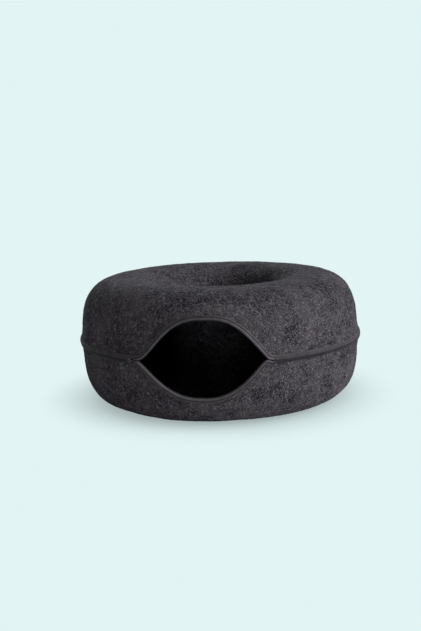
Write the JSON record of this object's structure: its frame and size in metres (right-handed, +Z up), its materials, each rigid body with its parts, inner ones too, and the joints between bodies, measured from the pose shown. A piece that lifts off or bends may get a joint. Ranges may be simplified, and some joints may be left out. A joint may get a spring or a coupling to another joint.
{
  "type": "donut cat tunnel",
  "caption": "Hollow ring of stiff charcoal felt: a cat tunnel with an eye-shaped zip doorway in its outer wall and an open nest in the middle.",
  "frame": {"origin": "on the floor at the middle of the central hole", "axes": "+Z up along the hole's axis, the doorway faces -Y, +X to the right of someone facing the doorway"},
  "size_m": [0.6068, 0.6025, 0.2625],
  "materials": {
    "felt": "matt charcoal needle felt, mottled with lighter and darker fibres",
    "binding_tape": "matt grey woven tape",
    "zip_coil": "dark grey nylon coil",
    "slider_metal": "black lacquered metal"
  },
  "bodies": {
    "root": {"upper_shell": "felt", "lower_shell": "felt", "upper_tape": "binding_tape", "lower_tape": "binding_tape", "upper_coil": "zip_coil", "lower_coil": "zip_coil", "zip_chain": "zip_coil", "slider": "slider_metal", "puller": "slider_metal", "end_stop": "slider_metal"}
  },
  "joints": []
}
